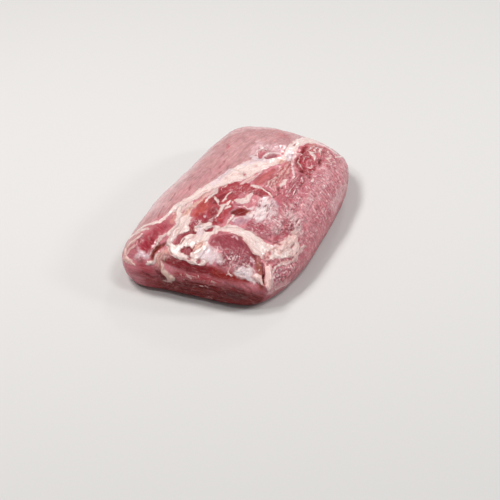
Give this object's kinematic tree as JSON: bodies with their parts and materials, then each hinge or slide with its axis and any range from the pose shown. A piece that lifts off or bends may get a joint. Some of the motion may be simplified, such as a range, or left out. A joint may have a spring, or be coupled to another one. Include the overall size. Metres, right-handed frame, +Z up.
{
  "type": "raw churrasco meat joint",
  "caption": "Thick boneless piece of raw meat for grilling, with pale muscle, a fat seam and marbling, lying on its flat underside.",
  "frame": {"origin": "middle of the underside's bounding box, on the surface that the piece lies on", "axes": "+X along the piece, from the steep cut face towards the rounded end; +Y across it, towards the smooth pale muscle; +Z up"},
  "size_m": [0.231, 0.154, 0.0499],
  "materials": {
    "raw_meat": "moist raw meat, pink to dark red muscle with cream fat"
  },
  "bodies": {
    "root": {"steak": "raw_meat"}
  },
  "joints": []
}
